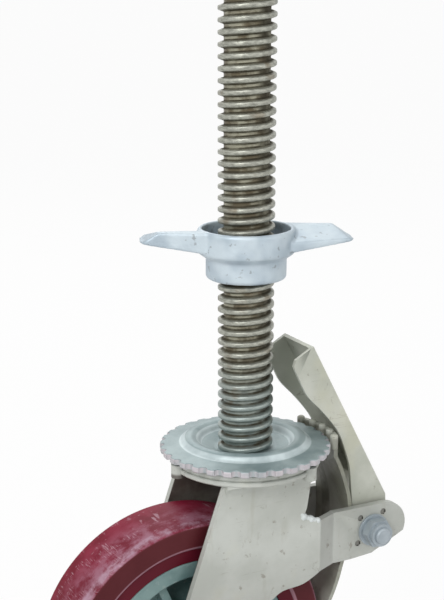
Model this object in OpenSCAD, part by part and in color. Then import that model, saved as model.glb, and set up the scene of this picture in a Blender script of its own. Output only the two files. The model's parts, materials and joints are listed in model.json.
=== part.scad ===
// Adjustable castor for a scaffold tower: threaded jack stem with a winged cup nut,
// toothed swivel plate, pressed steel fork, polyurethane wheel and a total-lock brake.
// The origin is the centre of the toothed plate, level with the foot of its pressed ring.
// The stem points to +Z, the wheel trails towards -X and its axle lies along Y. The pedal
// stands on the +X side.

/* [Jack screw] */
// Outside diameter of the thread
screw_d = 38; // [30:0.5:44]
// Height of the screw's top end above the foot of the toothed plate's ring
screw_h = 380; // [300:5:600]
// Thread pitch
thread_pitch = 7.5; // [6:0.25:10]
// Depth of the thread groove
thread_depth = 3.7; // [2:0.1:4]
// Length of the plain turned end above the thread
plain_end_l = 9; // [5:1:20]
// Chamfer on the plain end
plain_end_chamfer = 2; // [1:0.5:4]
// Direction in which the thread starts at the bottom
thread_start_deg = 40; // [0:1:359]

/* [Jack nut] */
// Height of the nut's underside above the foot of the toothed plate's ring
nut_z = 116; // [60:1:160]
// Height of the nut body
nut_h = 34; // [26:1:45]
// Outside diameter of the cup that takes the tube
cup_od = 65.4; // [62:0.2:75]
// Inside diameter of the cup
cup_id = 59; // [49:0.5:60]
// Depth of the cup
cup_depth = 10; // [6:1:16]
// Outside diameter of the nut's neck below the cup
nut_neck_d = 54; // [50:1:60]
// Radial gap between the thread crests and the nut's bore
nut_clearance = 0.4; // [0.3:0.05:0.6]
// Reach of each wing handle from the axis
wing_reach = 71; // [55:1:90]
// Width of a wing where it leaves the cup
wing_root_w = 38; // [28:1:44]
// Width of a wing at its end
wing_tip_w = 26; // [18:1:34]
// Thickness of a wing at its high edge
wing_t = 15; // [10:1:20]
// Fall of a wing's top from its high edge to its low edge
wing_fall = 8; // [3:1:10]
// Direction in which the wings point
wing_deg = -22; // [-90:1:90]

/* [Toothed plate] */
// Diameter over the teeth
plate_d = 118.6; // [110:0.2:130]
// Sheet thickness of the plate
plate_t = 4.4; // [4:0.1:5]
// Fall of the rim's top face from the foot of the ring to the teeth
rim_fall = 1.2; // [0:0.1:1.5]
// Number of notches in the rim, a multiple of four
notch_count = 32; // [24:4:40]
// Radius of each notch
notch_r = 3.3; // [2.6:0.1:3.6]
// Height of the pressed ring above the rim face
ridge_h = 4.2; // [2:0.2:6]
// Depth of the floor's edge, just inside the ring, below the rim face
floor_drop = 1.2; // [0.6:0.1:2]
// Depth of the dished middle, on which the screw stands, below the rim face
dish_drop = 4.2; // [3:0.1:4.4]
// Radius at which the pressed ring rises from the rim
ridge_foot_r = 44.5; // [42:0.5:48]
// Radius at which the ring falls to the floor
floor_r = 31; // [30:0.5:32]

/* [Swivel] */
// Diameter of the upper balls
upper_ball_d = 10; // [9:0.5:10]
// Number of upper balls
upper_ball_count = 22; // [14:1:22]
// Diameter of the lower balls
lower_ball_d = 7; // [5:0.5:9]
// Number of lower balls
lower_ball_count = 16; // [10:1:18]
// Radius of the lower ball circle
lower_race_r = 22; // [19:0.5:25]
// Gap between a ball and its race
ball_gap = 0.12; // [0.05:0.01:0.3]
// Diameter of the kingpin
kingpin_d = 20; // [16:1:24]
// Diameter of the kingpin's riveted head
kingpin_head_d = 32; // [28:1:38]
// Thickness of the kingpin's head
kingpin_head_t = 5; // [3:1:7]
// Gap around the kingpin in the crown
crown_hole_gap = 2; // [1:0.5:3]

/* [Fork] */
// Sheet thickness of the fork
fork_t = 5; // [4:0.5:6]
// Distance between the legs' inner faces
leg_gap = 62; // [58:1:70]
// Radius of the crown
crown_r = 52; // [49:0.5:54]
// Height of the crown's standing rim above the crown plate
crown_lip_h = 3.6; // [2:0.2:4]
// Width of the crown's standing rim
crown_lip_w = 4; // [3:0.5:6]
// Half width of a leg where it leaves the crown
leg_top_half_w = 33.5; // [28:0.5:36]
// Radius of the leg's round lower end
leg_end_r = 27; // [24:1:32]
// Distance between the ears' inner faces
ear_gap = 46; // [44:0.5:52]
// Height of the ears' top edge, below the plate's rim face
ear_top = 55; // [50:1:60]
// Height of an ear strap
ear_h = 39; // [34:1:44]
// Radius of the ear's round end
ear_end_r = 18; // [16:1:22]
// Radius of the concave fillet between crown and leg
crown_fillet_r = 9; // [5:1:12]
// Number of round bosses on the crown's edge, one of them at the rear
crown_boss_count = 3; // [3:1:3]
// Radius of a crown boss
crown_boss_r = 4.5; // [3:0.5:5]
// Height of a crown boss
crown_boss_h = 9.2; // [7:0.1:9.4]

/* [Wheel] */
// Wheel diameter
wheel_d = 200; // [190:1:206]
// Tread width
wheel_w = 50; // [44:1:54]
// Distance of the axle behind the swivel axis
axle_back = 50; // [44:1:58]
// Depth of the axle below the plate's rim face
axle_drop = 144.5; // [140:0.5:152]
// Thickness of the tread over the core
tread_t = 28; // [22:1:34]
// Thickness of the core's rim ring
core_ring_t = 12; // [9:1:14]
// Number of ribs on each side of the core
rib_count = 8; // [5:1:10]
// Thickness of a rib
rib_t = 6; // [4:0.5:9]
// Thickness of the core's web
web_t = 8; // [6:1:12]
// Hub diameter
hub_d = 62; // [58:1:70]
// Hub width
hub_w = 57; // [54:1:59]

/* [Axle] */
// Bearing outside diameter
bearing_od = 47; // [42:1:52]
// Bearing width
bearing_w = 14; // [10:1:16]
// Outside diameter of the axle sleeve
sleeve_d = 20; // [17:1:22]
// Axle bolt diameter
axle_d = 16; // [12:1:16]
// Radial gap of a running fit
running_gap = 0.05; // [0.02:0.01:0.1]
// Hexagon across flats on the axle bolt and nut
axle_af = 24; // [22:1:30]

/* [Pedal and brake] */
// Distance of the pedal's pivot in front of the swivel axis
pivot_x = 90; // [88:0.5:94]
// Depth of the pedal's pivot below the plate's rim face
pivot_drop = 74; // [72:0.5:76]
// Pivot bolt diameter
pivot_d = 12; // [10:1:12]
// Outside diameter of the pivot sleeve
pivot_sleeve_d = 16; // [15:0.5:18]
// Hexagon across flats on the pivot bolt and nut
pivot_af = 19; // [17:1:22]
// Diameter of the washers under the pivot bolt's head and nut
pivot_washer_d = 24; // [22:1:26]
// Thickness of those washers
pivot_washer_t = 2; // [1:0.5:3]
// Width of the pedal channel over its flanges
pedal_w = 40; // [36:0.5:41]
// Sheet thickness of the pedal
pedal_t = 2.5; // [2:0.5:3]
// Length of the pedal's web
pedal_l = 123; // [100:1:140]
// Lean of the pedal's web from upright, towards the screw
pedal_lean = 28; // [24:0.5:32]
// Depth of the channel at its upper end
pedal_depth = 20; // [16:1:24]
// Thickness of the brake plate
brake_t = 3; // [2:0.5:4]
// Width of the brake plate
brake_w = 45; // [40:0.5:45.4]
// Travel of the brake plate from free to locked
brake_travel = 2.9; // [2.7:0.1:3.3]
// Largest turn of the pedal from free to locked
pedal_turn = 65; // [50:1:70]

/* [Hidden] */
$fn = 96;

// Small overlap that makes joined shapes one solid
eps = 0.01;
// Clearance between faces that seat on each other
seat_gap = 0.05;

screw_r = screw_d / 2;
screw_root_r = screw_r - thread_depth;
thread_segments = 20;
plate_r = plate_d / 2;
notch_ring_r = plate_r + 0.2;
dish_z = -dish_drop;
race_ring_r = (ridge_foot_r + floor_r) / 2 + 0.75;
race_under_z = ridge_h - plate_t;
upper_ball_z = race_under_z - ball_gap - upper_ball_d / 2;
crown_top_z = upper_ball_z - upper_ball_d / 2 - ball_gap;
crown_bottom_z = crown_top_z - fork_t;
lower_ball_z = crown_bottom_z - ball_gap - lower_ball_d / 2;
lower_race_z = lower_ball_z - lower_ball_d / 2 - ball_gap;
lower_race_t = 4;
leg_in_y = leg_gap / 2;
leg_out_y = leg_in_y + fork_t;
ear_in_y = ear_gap / 2;
ear_out_y = ear_in_y + fork_t;
axle_z = -axle_drop;
pivot_z = -pivot_drop;
wheel_r = wheel_d / 2;
core_r = wheel_r - tread_t;

// Points of a smooth curve through the given points
function curve_point(a, b, c, d, t) =
    0.5 * (2 * b + (c - a) * t + (2 * a - 5 * b + 4 * c - d) * t * t
    + (3 * b - a - 3 * c + d) * t * t * t);
function curve(points, steps = 5) = [
    for (i = [0 : len(points) - 2])
        let (a = points[max(i - 1, 0)], b = points[i], c = points[i + 1])
        let (d = points[min(i + 2, len(points) - 1)])
        for (s = [0 : steps - 1]) curve_point(a, b, c, d, s / steps),
    points[len(points) - 1]
];
// Points of an arc, from one angle to another
function arc(centre, r, from, to, steps = 12) = [
    for (s = [0 : steps])
        let (a = from + (to - from) * s / steps)
        centre + r * [cos(a), sin(a)]
];

// A sheet with the given side outline, lying in an XZ plane from y to y + thickness
module side_sheet(outline, y, thickness) {
    translate([0, y + thickness, 0])
        rotate([90, 0, 0])
            linear_extrude(thickness) polygon(outline);
}

// A round body about an axis along Y through x, z
module across(x, z) {
    translate([x, 0, z]) rotate([-90, 0, 0]) children();
}

// A hexagon prism along Z
module hexagon(across_flats, height) {
    cylinder(h = height, d = across_flats / cos(30), $fn = 6);
}

// Jack screw

// Depth of the groove's rounded bottom below its edges
groove_dip = 0.3;
// Height above the screw's foot at which the thread starts
thread_lead = 1.3;
// One thread turn, upwards: radius and height as a share of the pitch
function thread_profile() = [
    [screw_root_r, 0], [screw_root_r - groove_dip, 0.36], [screw_r, 0.56], [screw_r, 0.8]
];
thread_bottom_z = dish_z + thread_lead;
thread_top_z = screw_h - plain_end_l;
thread_turns = floor((thread_top_z - thread_bottom_z) / thread_pitch) - 1;
thread_steps = thread_turns * thread_segments;
profile_n = len(thread_profile());
// Radius of the thread, which runs in and out over the first and last third of a turn
function run_out(i) =
    let (ends = min(i, thread_steps - i) / (thread_segments / 3))
    0.08 + 0.92 * min(1, ends);
function thread_point(i, j) =
    let (a = thread_start_deg + i * 360 / thread_segments, p = thread_profile()[j])
    let (r = screw_root_r + (p[0] - screw_root_r) * run_out(i))
    [r * cos(a), r * sin(a), thread_bottom_z + thread_pitch * (i / thread_segments + p[1])];
function end_ring(r, z) = [
    for (i = [0 : thread_segments - 1])
        let (a = thread_start_deg + i * 360 / thread_segments)
        [r * cos(a), r * sin(a), z]
];

module jack_screw() {
    seg = thread_segments;
    root_n = thread_steps + seg + 1;
    end_r = screw_root_r - groove_dip;
    bottom_points = end_ring(end_r, dish_z);
    top_points = end_ring(end_r, screw_h - plain_end_chamfer);
    tip_points = end_ring(end_r - plain_end_chamfer, screw_h);
    root_points = [for (i = [0 : root_n - 1]) thread_point(i, 0)];
    crest_points = [
        for (i = [0 : thread_steps])
            for (j = [1 : profile_n - 1]) thread_point(i, j)
    ];
    points = concat(root_points, crest_points, bottom_points, top_points, tip_points);
    crest_0 = root_n;
    bottom_0 = crest_0 + len(crest_points);
    top_0 = bottom_0 + seg;
    tip_0 = top_0 + seg;
    function id(i, j) = j == 0 ? i : j == profile_n ? i + seg
        : crest_0 + i * (profile_n - 1) + j - 1;
    function low(i) = bottom_0 + i % seg;
    function high(i) = top_0 + i % seg;
    function tip(i) = tip_0 + i % seg;
    side_faces = [
        for (i = [0 : thread_steps - 1])
            for (j = [0 : profile_n - 1])
                for (k = [0 : 1])
                    k == 0 ? [id(i, j), id(i, j + 1), id(i + 1, j)]
                    : [id(i + 1, j), id(i, j + 1), id(i + 1, j + 1)]
    ];
    bottom_faces = [
        for (i = [0 : seg - 1])
            for (k = [0 : 1])
                k == 0 ? [low(i), id(i, 0), low(i + 1)] : [low(i + 1), id(i, 0), id(i + 1, 0)]
    ];
    top_faces = [
        for (i = [thread_steps : thread_steps + seg - 1])
            for (k = [0 : 1])
                k == 0 ? [i, high(i), i + 1] : [i + 1, high(i), high(i + 1)]
    ];
    chamfer_faces = [
        for (i = [0 : seg - 1])
            for (k = [0 : 1])
                k == 0 ? [high(i), tip(i), high(i + 1)] : [high(i + 1), tip(i), tip(i + 1)]
    ];
    start_face = [[for (j = [0 : profile_n]) id(0, profile_n - j), low(0)]];
    end_face = [[for (j = [0 : profile_n]) id(thread_steps, j), high(thread_steps)]];
    bottom_cap = [[for (i = [0 : seg - 1]) bottom_0 + i]];
    top_cap = [[for (i = [0 : seg - 1]) tip_0 + seg - 1 - i]];
    color("slategray")
        polyhedron(points, concat(side_faces, bottom_faces, top_faces, chamfer_faces,
            start_face, end_face, bottom_cap, top_cap));
}

// Jack nut
nut_top_z = nut_z + nut_h;
nut_bore_r = screw_r + nut_clearance;
cup_rim_h = 16;
nut_edge = 1.5;
nut_profile = [
    [nut_bore_r - 1, 0], [nut_neck_d / 2 - nut_edge, 0], [nut_neck_d / 2, nut_edge],
    [nut_neck_d / 2, nut_h - cup_rim_h - 4], [cup_od / 2, nut_h - cup_rim_h],
    [cup_od / 2, nut_h - nut_edge], [cup_od / 2 - nut_edge, nut_h], [nut_bore_r - 1, nut_h]
];

// One wing handle along +X: its plan, its end profile and its side profile, crossed
module wing() {
    inner_x = nut_bore_r;
    corner_r = 7;
    low_t = 7;
    end_fall = 7;
    plan = concat(
        [[inner_x, -wing_root_w / 2]],
        arc([wing_reach - corner_r, corner_r - wing_tip_w / 2], corner_r, -85, 0),
        arc([wing_reach - corner_r, wing_tip_w / 2 - corner_r], corner_r, 0, 85),
        [[inner_x, wing_root_w / 2]]
    );
    section = [
        [-wing_root_w / 2, -wing_fall - low_t], [wing_root_w / 2, -wing_t],
        [wing_root_w / 2, 0], [wing_root_w / 4, 0], [-wing_root_w / 2, -wing_fall]
    ];
    side = [
        [inner_x, -wing_t - 1], [wing_reach + 1, low_t - wing_t], [wing_reach + 1, -end_fall],
        [wing_reach - 2, -end_fall], [wing_reach - 12, -0.5], [inner_x, -0.5]
    ];
    translate([0, 0, nut_top_z])
        intersection() {
            translate([0, 0, -2 * wing_t]) linear_extrude(2 * wing_t) polygon(plan);
            rotate([90, 0, 90]) linear_extrude(2 * wing_reach) polygon(section);
            side_sheet(side, -wing_root_w, 2 * wing_root_w);
        }
}

module jack_nut() {
    color("lightsteelblue")
        difference() {
            union() {
                translate([0, 0, nut_z]) rotate_extrude() polygon(nut_profile);
                for (half = [0, 180]) rotate([0, 0, wing_deg + half]) wing();
            }
            translate([0, 0, nut_z - 1]) cylinder(h = nut_h + 2, r = nut_bore_r);
            translate([0, 0, nut_top_z - cup_depth]) cylinder(h = cup_depth + 1, d = cup_id);
        }
}

// Toothed swivel plate
plate_edge = 0.8;
rim_z = -rim_fall;
race_half_w = upper_ball_d / 2 + 0.3;
race_in_r = race_ring_r - race_half_w;
race_out_r = race_ring_r + race_half_w;
dish_r = screw_r + 1;
hub_hole_r = kingpin_d / 2 + seat_gap;
plate_top = concat(
    [[hub_hole_r, dish_z], [dish_r, dish_z]],
    curve([
        [floor_r - 3, -floor_drop - 0.4], [floor_r, -floor_drop + 0.4],
        [floor_r + 2, ridge_h * 0.5], [race_ring_r - 2.5, ridge_h - 0.5],
        [race_ring_r, ridge_h], [ridge_foot_r - 2.5, ridge_h - 0.9],
        [ridge_foot_r - 0.3, 0.7], [ridge_foot_r + 2, 0]
    ], 3)
);
plate_profile = concat(
    plate_top,
    [
        [plate_r - plate_edge, rim_z], [plate_r, rim_z - plate_edge],
        [plate_r, rim_z + plate_edge - plate_t], [plate_r - plate_edge, rim_z - plate_t],
        [race_out_r, -plate_t], [race_out_r, race_under_z], [race_in_r, race_under_z],
        [race_in_r, -floor_drop - plate_t], [floor_r - 3, -floor_drop - plate_t - 0.4],
        [dish_r, dish_z - plate_t], [hub_hole_r, dish_z - plate_t]
    ]
);

module top_plate() {
    color("lightblue")
        difference() {
            rotate_extrude() polygon(plate_profile);
            for (i = [0 : notch_count - 1])
                rotate([0, 0, i * 360 / notch_count])
                    translate([notch_ring_r, 0, -2 * plate_t])
                        cylinder(h = 3 * plate_t, r = notch_r, $fn = 24);
        }
}

// Swivel bearing: kingpin, balls and lower race
kingpin_collar_r = kingpin_d / 2 + 3;
module kingpin() {
    collar_top = dish_z - plate_t;
    collar_bottom = crown_top_z + 1.2;
    head_top = lower_race_z - lower_race_t;
    color("silver")
        rotate_extrude()
            polygon(concat(
                [[0, dish_z], [kingpin_d / 2, dish_z], [kingpin_d / 2, collar_top],
                    [kingpin_collar_r, collar_top], [kingpin_collar_r, collar_bottom],
                    [kingpin_d / 2, collar_bottom], [kingpin_d / 2, head_top],
                    [kingpin_head_d / 2, head_top]],
                curve([[kingpin_head_d / 2, head_top - kingpin_head_t * 0.4],
                    [kingpin_head_d / 3, head_top - kingpin_head_t * 0.9],
                    [0, head_top - kingpin_head_t]], 4)
            ));
}

module ball_row(count, ring_r, ball_d, z) {
    for (i = [0 : count - 1])
        rotate([0, 0, i * 360 / count]) translate([ring_r, 0, z]) sphere(d = ball_d, $fn = 32);
}

module upper_balls() {
    color("gainsboro") ball_row(upper_ball_count, race_ring_r, upper_ball_d, upper_ball_z);
}

module lower_balls() {
    color("gainsboro") ball_row(lower_ball_count, lower_race_r, lower_ball_d, lower_ball_z);
}

lower_lip_r = lower_race_r + lower_ball_d / 2 + 0.8;
lower_lip_w = 3;
module lower_race() {
    lip_top = crown_bottom_z - 1;
    color("silver")
        rotate_extrude()
            polygon([
                [kingpin_d / 2 + seat_gap, lower_race_z - lower_race_t],
                [lower_lip_r, lower_race_z - lower_race_t],
                [lower_lip_r + lower_lip_w, lower_race_z], [lower_lip_r + lower_lip_w, lip_top],
                [lower_lip_r, lip_top], [lower_lip_r, lower_race_z],
                [kingpin_d / 2 + seat_gap, lower_race_z]
            ]);
}

// Fork: one half has the outlines that both sides share
strap_top = -ear_top;
strap_bottom = -ear_top - ear_h;
step_start_x = 41;
step_end_x = 57;
// Angle at which a line from a point touches a circle
function touch_deg(point, centre, r, side) =
    let (v = point - centre) atan2(v[1], v[0]) + side * acos(r / norm(v));
leg_end = [-axle_back, axle_z];
leg_back_top = [-leg_top_half_w, crown_bottom_z + 1];
leg_throat = [3, strap_bottom - 13.5];
leg_outline = concat(
    [leg_back_top],
    arc(leg_end, leg_end_r, touch_deg(leg_back_top, leg_end, leg_end_r, 1),
        touch_deg(leg_throat, leg_end, leg_end_r, -1) + 360, 24),
    curve([leg_throat, [11.5, strap_bottom - 8.5], [28, strap_bottom - 6.5],
        [step_start_x, strap_bottom]], 4),
    curve([[step_start_x, strap_top], [33, strap_top + 3], [25.5, strap_top + 6.5],
        [leg_top_half_w - 4, strap_top + 11.5], [leg_top_half_w, crown_bottom_z + 1]], 4)
);
ear_end = [pivot_x + 10, strap_top - ear_end_r];
ear_outline = concat(
    [[step_end_x - 1, strap_top]],
    arc(ear_end, ear_end_r, 90, -22),
    [[pivot_x, strap_bottom + 1.5], [step_end_x + 15, strap_bottom],
        [step_end_x - 1, strap_bottom]]
);
step_outline = [
    [step_start_x - 1, leg_out_y], [step_end_x, ear_out_y],
    [step_end_x, ear_in_y], [step_start_x - 1, leg_in_y]
];
dimple_r = 2.3;
dimple_depth = 1.2;
dimple_ring_r = 15;
dimple_degs = [55, 135, 215, 305];

module fork_half() {
    side_sheet(leg_outline, leg_in_y, fork_t);
    side_sheet(ear_outline, ear_in_y, fork_t);
    translate([0, 0, strap_bottom]) linear_extrude(ear_h) polygon(step_outline);
    // Concave fillet under the crown
    intersection() {
        difference() {
            translate([-leg_top_half_w, leg_out_y - eps, crown_bottom_z - crown_fillet_r])
                cube([2 * leg_top_half_w, crown_fillet_r, crown_fillet_r + 1]);
            translate([-2 * leg_top_half_w, leg_out_y + crown_fillet_r,
                crown_bottom_z - crown_fillet_r])
                rotate([0, 90, 0]) cylinder(h = 4 * leg_top_half_w, r = crown_fillet_r);
        }
        translate([0, 0, crown_bottom_z - 2 * crown_fillet_r])
            cylinder(h = 4 * crown_fillet_r, r = crown_r - 1);
    }
}

crown_edge = 1.2;
crown_step = 1.1;
// Drop of a boss's underside below the crown's
crown_boss_drop = 2.4;
module crown() {
    lip_in = crown_r - crown_lip_w;
    lip_out = crown_r - crown_step;
    rim_top = crown_top_z - crown_step;
    lip_slope = 1.5;
    rotate_extrude()
        polygon([
            [kingpin_d / 2 + crown_hole_gap, crown_bottom_z],
            [crown_r - crown_edge, crown_bottom_z], [crown_r, crown_bottom_z + crown_edge],
            [crown_r, rim_top - crown_edge / 2], [crown_r - crown_edge / 2, rim_top],
            [lip_out - crown_edge / 2, rim_top], [lip_out, rim_top + crown_edge],
            [lip_out, crown_top_z + crown_lip_h - crown_edge],
            [lip_out - crown_edge, crown_top_z + crown_lip_h], [lip_in, crown_top_z + crown_lip_h],
            [lip_in - lip_slope, crown_top_z], [kingpin_d / 2 + crown_hole_gap, crown_top_z]
        ]);
    for (i = [0 : crown_boss_count - 1])
        rotate([0, 0, 180 + i * 360 / crown_boss_count])
            translate([crown_r, 0, crown_bottom_z - crown_boss_drop])
                cylinder(h = crown_boss_h, r = crown_boss_r);
}

module fork() {
    through = 4 * leg_out_y;
    color("antiquewhite")
        difference() {
            union() {
                crown();
                fork_half();
                mirror([0, 1, 0]) fork_half();
            }
            across(-axle_back, axle_z)
                cylinder(h = through, d = axle_d + 2 * seat_gap, center = true);
            across(pivot_x, pivot_z)
                cylinder(h = through, d = pivot_d + 2 * seat_gap, center = true);
            for (a = dimple_degs, side = [-1, 1])
                translate([pivot_x + dimple_ring_r * cos(a), side * ear_out_y,
                    pivot_z + dimple_ring_r * sin(a)])
                    rotate([90, 0, 0])
                        cylinder(h = 2 * dimple_depth, r = dimple_r, center = true);
        }
}

// Wheel: a half section of each round piece gives radius and distance from the middle
tyre_half_w = wheel_w / 2;
shoulder_r = 2.5;
tread_crown = 1;
// The side wall steps in towards the core
step_r = core_r + 11.4;
step_depth = 1.8;
lip_depth = 3;
tyre_side = concat(
    [[core_r + seat_gap, tyre_half_w - lip_depth],
        [step_r - step_depth, tyre_half_w - step_depth], [step_r - 0.5, tyre_half_w - 0.5],
        [step_r + 0.5, tyre_half_w]],
    arc([wheel_r - tread_crown - shoulder_r, tyre_half_w - shoulder_r], shoulder_r, 90, 8, 6),
    [[wheel_r - tread_crown / 4, tyre_half_w / 2]]
);
function mirrored(points) = [for (i = [len(points) - 1 : -1 : 0]) [points[i][0], -points[i][1]]];

module tyre() {
    color("maroon")
        across(-axle_back, axle_z)
            rotate_extrude($fn = 180)
                polygon(concat(tyre_side, [[wheel_r, 0]], mirrored(tyre_side)));
}

ring_half_w = tyre_half_w - lip_depth - 0.2;
rib_half_w = ring_half_w - 4;
rib_start_deg = 22;
core_edge = 1;
core_draft = 1.5;
hub_r = hub_d / 2;
hub_half_w = hub_w / 2;
module wheel_core() {
    ring_r = core_r - core_ring_t;
    side = [
        [hub_r - 6, hub_half_w], [hub_r - core_edge, hub_half_w],
        [hub_r, hub_half_w - core_edge], [hub_r + core_draft, web_t / 2],
        [ring_r - core_draft, web_t / 2], [ring_r, ring_half_w - core_edge],
        [ring_r + core_edge, ring_half_w], [core_r - core_edge, ring_half_w],
        [core_r, ring_half_w - core_edge]
    ];
    color("cadetblue")
        across(-axle_back, axle_z)
            difference() {
                union() {
                    rotate_extrude($fn = 180) polygon(concat(side, mirrored(side)));
                    cylinder(h = 2 * hub_half_w, r = hub_r - 3, center = true);
                    for (i = [0 : rib_count - 1])
                        rotate([0, 0, i * 360 / rib_count + rib_start_deg])
                            translate([hub_r - 4, -rib_t / 2, -rib_half_w])
                                cube([ring_r - hub_r + 6, rib_t, 2 * rib_half_w]);
                }
                cylinder(h = 3 * hub_half_w, r = bearing_od / 2 - 2.5, center = true);
                for (side = [-1, 1])
                    translate([0, 0, side * (hub_half_w - bearing_w / 2 + 1)])
                        cylinder(h = bearing_w + 2, r = bearing_od / 2 + seat_gap / 2,
                            center = true);
            }
}

// One sealed ball bearing, its outer face at +Z
module bearing() {
    inner_r = sleeve_d / 2 + running_gap;
    outer_r = bearing_od / 2;
    ring_t = 3;
    inner_ring_r = inner_r + ring_t;
    outer_ring_r = outer_r - ring_t;
    half = bearing_w / 2;
    edge = 0.8;
    shield = 0.6;
    rotate_extrude()
        polygon([
            [inner_r, -half], [inner_ring_r, -half], [inner_ring_r, shield - half],
            [outer_ring_r, shield - half], [outer_ring_r, -half], [outer_r - edge, -half],
            [outer_r, edge - half], [outer_r, half - edge], [outer_r - edge, half],
            [outer_ring_r, half], [outer_ring_r, half - shield], [inner_ring_r, half - shield],
            [inner_ring_r, half], [inner_r, half]
        ]);
}

bearing_mid_y = hub_half_w - bearing_w / 2;
module bearing_near() {
    color("silver") across(-axle_back, axle_z) translate([0, 0, -bearing_mid_y]) bearing();
}

module bearing_far() {
    color("silver") across(-axle_back, axle_z) translate([0, 0, bearing_mid_y]) bearing();
}

// A plain round tube along Z, centred
module tube(outer_d, inner_d, length) {
    difference() {
        cylinder(h = length, d = outer_d, center = true);
        cylinder(h = length + 2, d = inner_d, center = true);
    }
}

module bearing_spacer() {
    color("dimgray")
        across(-axle_back, axle_z) tube(sleeve_d + 6, sleeve_d + 1, hub_w - 2 * bearing_w);
}

module axle_sleeve() {
    color("darkgray")
        across(-axle_back, axle_z) tube(sleeve_d, axle_d + 2 * seat_gap, leg_gap);
}

// Length of the chamfer at a bolt's tip
tip_l = 1;
// Bolt along Z: the hexagon head stands on z = 0, the shank points down
module bolt(shank_d, shank_l, across_flats, head_h) {
    difference() {
        hexagon(across_flats, head_h);
        rotate_extrude()
            polygon([[across_flats / 2, head_h], [across_flats, head_h],
                [across_flats, head_h - across_flats / 4]]);
    }
    translate([0, 0, -shank_l]) cylinder(h = shank_l + eps, d = shank_d);
    translate([0, 0, -shank_l - tip_l])
        cylinder(h = tip_l + eps, d1 = shank_d - 2 * tip_l, d2 = shank_d);
}

// Self-locking nut along Z: its seat is at z = 0 and its round collar points up
module lock_nut(bore_d, across_flats, height) {
    collar_h = height * 0.3;
    difference() {
        union() {
            intersection() {
                hexagon(across_flats, height - collar_h);
                cylinder(h = height, r1 = across_flats * 0.5, r2 = across_flats);
            }
            translate([0, 0, height - collar_h - eps])
                cylinder(h = collar_h + eps, d = across_flats - 2);
        }
        translate([0, 0, -1]) cylinder(h = height + 2, d = bore_d + 2 * seat_gap);
    }
}

washer_t = 3;
axle_head_h = 10;
axle_nut_h = 14;
nut_tail = 2.5;
module axle_bolt() {
    seat_y = leg_out_y + washer_t;
    color("silver")
        across(-axle_back, axle_z)
            translate([0, 0, seat_y])
                bolt(axle_d, 2 * seat_y + axle_nut_h + nut_tail - tip_l, axle_af, axle_head_h);
}

module axle_nut() {
    color("silver")
        across(-axle_back, axle_z)
            translate([0, 0, -leg_out_y - washer_t])
                rotate([180, 0, 0]) lock_nut(axle_d, axle_af, axle_nut_h);
}

module axle_washers() {
    color("silver")
        across(-axle_back, axle_z)
            for (side = [-1, 1])
                translate([0, 0, side * (leg_out_y + washer_t / 2)])
                    tube(axle_af + 8, axle_d + 2 * seat_gap, washer_t);
}

hub_side_gap = 0.4;
module axle_spacers() {
    length = leg_in_y - hub_half_w - hub_side_gap;
    color("darkgray")
        across(-axle_back, axle_z)
            for (side = [-1, 1])
                translate([0, 0, side * (leg_in_y - length / 2)])
                    tube(sleeve_d + 8, sleeve_d + 2 * seat_gap, length);
}

// Pedal: a channel whose web leans over the toothed plate
web_foot = [pivot_x + 9.7, pivot_z + 32.7];
web_dir = [sin(pedal_lean), -cos(pedal_lean)];
web_in = [-cos(pedal_lean), -sin(pedal_lean)];
// A point of the flange: distance along the web from its top, and depth behind it
function flange_point(along, depth) =
    web_foot + (along - pedal_l) * web_dir + depth * web_in;
cam_gap = 0.4;
plate_back_x = 75.5;
cam_rest_reach = pivot_x - plate_back_x - cam_gap;
cam_mid_deg = 90;
cam_offset = brake_travel / (2 * sin(pedal_turn / 2));
cam_rest_deg = cam_mid_deg + pedal_turn / 2;
cam_r = cam_rest_reach - cam_offset * cos(cam_rest_deg);
// The cam disc's centre, seen from the pivot, at rest
cam_centre = [pivot_x, pivot_z]
    - cam_offset * [cos(cam_rest_deg), sin(cam_rest_deg)];
flange_outline = concat(
    [flange_point(0, 0), flange_point(0.5, pedal_depth * 0.8)],
    curve([
        flange_point(4, pedal_depth - 0.5), flange_point(16, pedal_depth),
        flange_point(29, pedal_depth), flange_point(44, pedal_depth - 4.2),
        flange_point(58, pedal_depth - 7.4), flange_point(68, pedal_depth - 8.7),
        flange_point(78, pedal_depth - 8), flange_point(90, pedal_depth - 6.2),
        flange_point(100, pedal_depth - 3.6), flange_point(pedal_l, pedal_depth + 6)
    ], 4),
    [
        [cam_centre[0] - cam_r, cam_centre[1]], [cam_centre[0] + cam_r, cam_centre[1]],
        flange_point(pedal_l + 12, 0)
    ]
);
web_outline = [
    flange_point(0, 0), flange_point(0, pedal_t),
    flange_point(pedal_l + 8, pedal_t), flange_point(pedal_l + 8, 0)
];

module pedal_flange(y) {
    side_sheet(flange_outline, y, pedal_t);
    across(cam_centre[0], cam_centre[1]) translate([0, 0, y]) cylinder(h = pedal_t, r = cam_r);
}

module brake_pedal() {
    flange_y = pedal_w / 2 - pedal_t;
    color("antiquewhite")
        difference() {
            union() {
                pedal_flange(flange_y);
                pedal_flange(-flange_y - pedal_t);
                side_sheet(web_outline, -pedal_w / 2, pedal_w);
            }
            across(pivot_x, pivot_z)
                cylinder(h = 2 * pedal_w, d = pivot_sleeve_d + 2 * running_gap, center = true);
        }
}

// Brake plate: bowed sheet, its upper end curved round the toothed plate
brake_top_z = 0.4;
tooth_top_z = 2.6;
tooth_bottom_z = -8;
tooth_r = notch_r - 0.5;
tooth_ring_r = notch_ring_r + 0.5;
collar_in_r = plate_r + 0.9;
tread_gap = 0.3;
shoe_x = wheel_r - axle_back + brake_travel + tread_gap;
bow_x = plate_back_x - brake_t;
bow_top_x = plate_r - 3.3;
brake_end_z = axle_z - 8;
// Upper bow: shares of the way from its top out to the pivot's side, and down to the pivot
function bow_point(out, down) = [bow_top_x + out * (bow_x - bow_top_x), down * pivot_z];
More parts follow.
